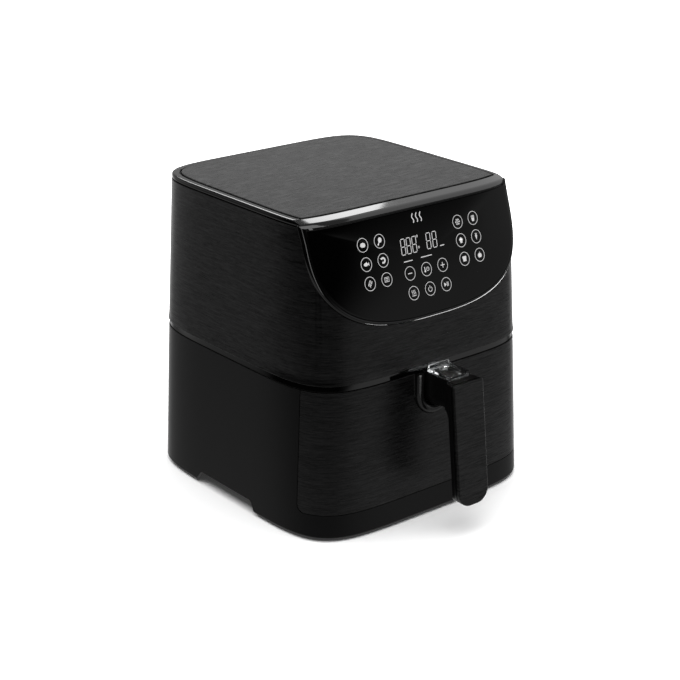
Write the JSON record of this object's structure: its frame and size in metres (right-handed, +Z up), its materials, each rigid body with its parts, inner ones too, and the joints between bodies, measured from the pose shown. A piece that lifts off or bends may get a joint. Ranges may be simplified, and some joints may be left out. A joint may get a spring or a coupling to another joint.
{
  "type": "air fryer",
  "caption": "Basket air fryer with a slanted touch panel, a brushed top plate and a pull-out drawer holding a non-stick basket with a guarded release button on its handle.",
  "frame": {"origin": "centre of the overall footprint, handle included, on the surface that the feet stand on", "axes": "+Z up, -Y towards the control panel and the handle, +X to the right for a person facing the front"},
  "size_m": [0.2992, 0.3748, 0.321],
  "materials": {
    "brushed_black": "horizontally brushed satin",
    "housing_black": "fine matte",
    "gloss_black": "gloss",
    "satin_black": "satin",
    "panel_black": "polished window with white symbols",
    "clear_plastic": "clear",
    "non_stick": "non-stick coating",
    "steel": "sheet steel",
    "heater_sheath": "heat darkened",
    "rubber": "matte",
    "circuit_board": "solder mask",
    "component_black": "moulded"
  },
  "bodies": {
    "housing": {"lower_housing": "housing_black", "base_plate": "satin_black", "foot_front_left": "rubber", "foot_front_right": "rubber", "foot_rear_left": "rubber", "foot_rear_right": "rubber", "base_screw_1": "steel", "base_screw_2": "steel", "base_screw_3": "steel", "base_screw_4": "steel", "seam_band": "gloss_black", "middle_frame": "satin_black", "chamber_liner": "steel", "chamber_frame": "satin_black", "heater_dome": "steel", "heating_element": "heater_sheath", "heater_guard": "steel", "temperature_probe": "steel", "thermal_cutout": "steel", "fan_motor": "steel", "motor_bracket": "steel", "upper_housing": "brushed_black", "top_bezel": "gloss_black", "top_plate": "brushed_black", "control_glass": "panel_black", "display_board": "circuit_board", "display_module": "component_black", "power_board": "circuit_board", "transformer": "component_black", "relay": "component_black", "capacitor": "component_black", "rear_vent": "satin_black", "outlet_duct": "steel", "cord_gland": "rubber", "drawer_switch": "component_black"},
    "fan": {"motor_shaft": "steel", "hot_air_fan": "steel", "cooling_fan": "satin_black"},
    "drawer": {"drawer_front": "brushed_black", "neck_collar": "gloss_black", "drawer_front_liner": "satin_black", "outer_basket": "non_stick", "inner_basket": "non_stick", "basket_bumper_left": "rubber", "basket_bumper_right": "rubber", "handle_body": "satin_black", "handle_cover": "brushed_black", "handle_bracket": "steel", "bracket_rivet_1": "steel", "bracket_rivet_2": "steel", "latch_pin": "steel", "latch_spring": "steel"},
    "latch": {"latch_hook": "steel"},
    "button": {"release_button": "satin_black"},
    "guard": {"button_guard": "clear_plastic"},
    "switch_pin": {"switch_plunger": "component_black"}
  },
  "joints": [
    {"name": "drawer_slide", "type": "slide", "parent": "housing", "child": "drawer", "axis": [0, -1, 0], "range_m": [0, 0.25]},
    {"name": "fan_spin", "type": "hinge", "parent": "housing", "child": "fan", "pos_m": [0, 0.025, 0.2], "axis": [0, 0, 1], "continuous": true},
    {"name": "latch_pivot", "type": "hinge", "parent": "drawer", "child": "latch", "pos_m": [0, -0.125, 0.143], "axis": [1, 0, 0], "range_deg": [0, 10.3], "stiffness_Nm_per_rad": 0.3},
    {"name": "release_button_press", "type": "slide", "parent": "drawer", "child": "button", "axis": [0, 0, -1], "range_m": [0, 0.003]},
    {"name": "button_guard_slide", "type": "slide", "parent": "drawer", "child": "guard", "axis": [0, -1, 0], "range_m": [0, 0.018]},
    {"name": "switch_plunger_slide", "type": "slide", "parent": "housing", "child": "switch_pin", "axis": [0, -1, 0], "range_m": [0, 0.002]}
  ],
  "couplings": [
    {"joint": "release_button_press", "follows": "latch_pivot", "m_per_rad": 0.01666},
    {"joint": "switch_plunger_slide", "follows": "drawer_slide", "ratio": 0.008}
  ]
}
